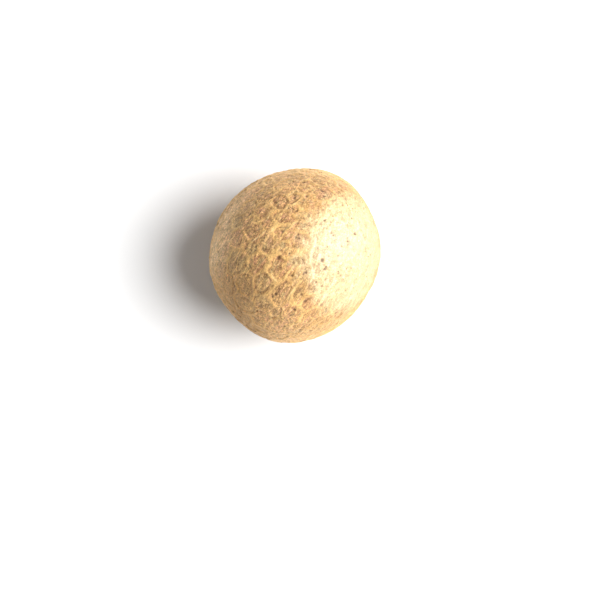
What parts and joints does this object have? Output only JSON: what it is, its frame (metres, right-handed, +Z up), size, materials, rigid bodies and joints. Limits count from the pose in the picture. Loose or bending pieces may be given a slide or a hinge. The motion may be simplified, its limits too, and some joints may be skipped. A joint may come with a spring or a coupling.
{
  "type": "betel nut",
  "caption": "Whole husked betel nut: a slightly drawn-out ball with a raised net of veins over its skin and a round hilum scar at the base, resting on a small flat spot.",
  "frame": {"origin": "on the surface that the nut rests on, under the middle of its bounding box", "axes": "+Z up, away from the flat spot it rests on; the growth axis heads 60 degrees from +X towards +Y and leans 24 degrees up, from the hilum at the base to the apex"},
  "size_m": [0.0312, 0.0318, 0.0307],
  "materials": {
    "nut_skin": "dry matt tan skin with paler golden veins, reddish and grey-green mottling and fine dark pores"
  },
  "bodies": {
    "root": {"betel_nut": "nut_skin"}
  },
  "joints": []
}
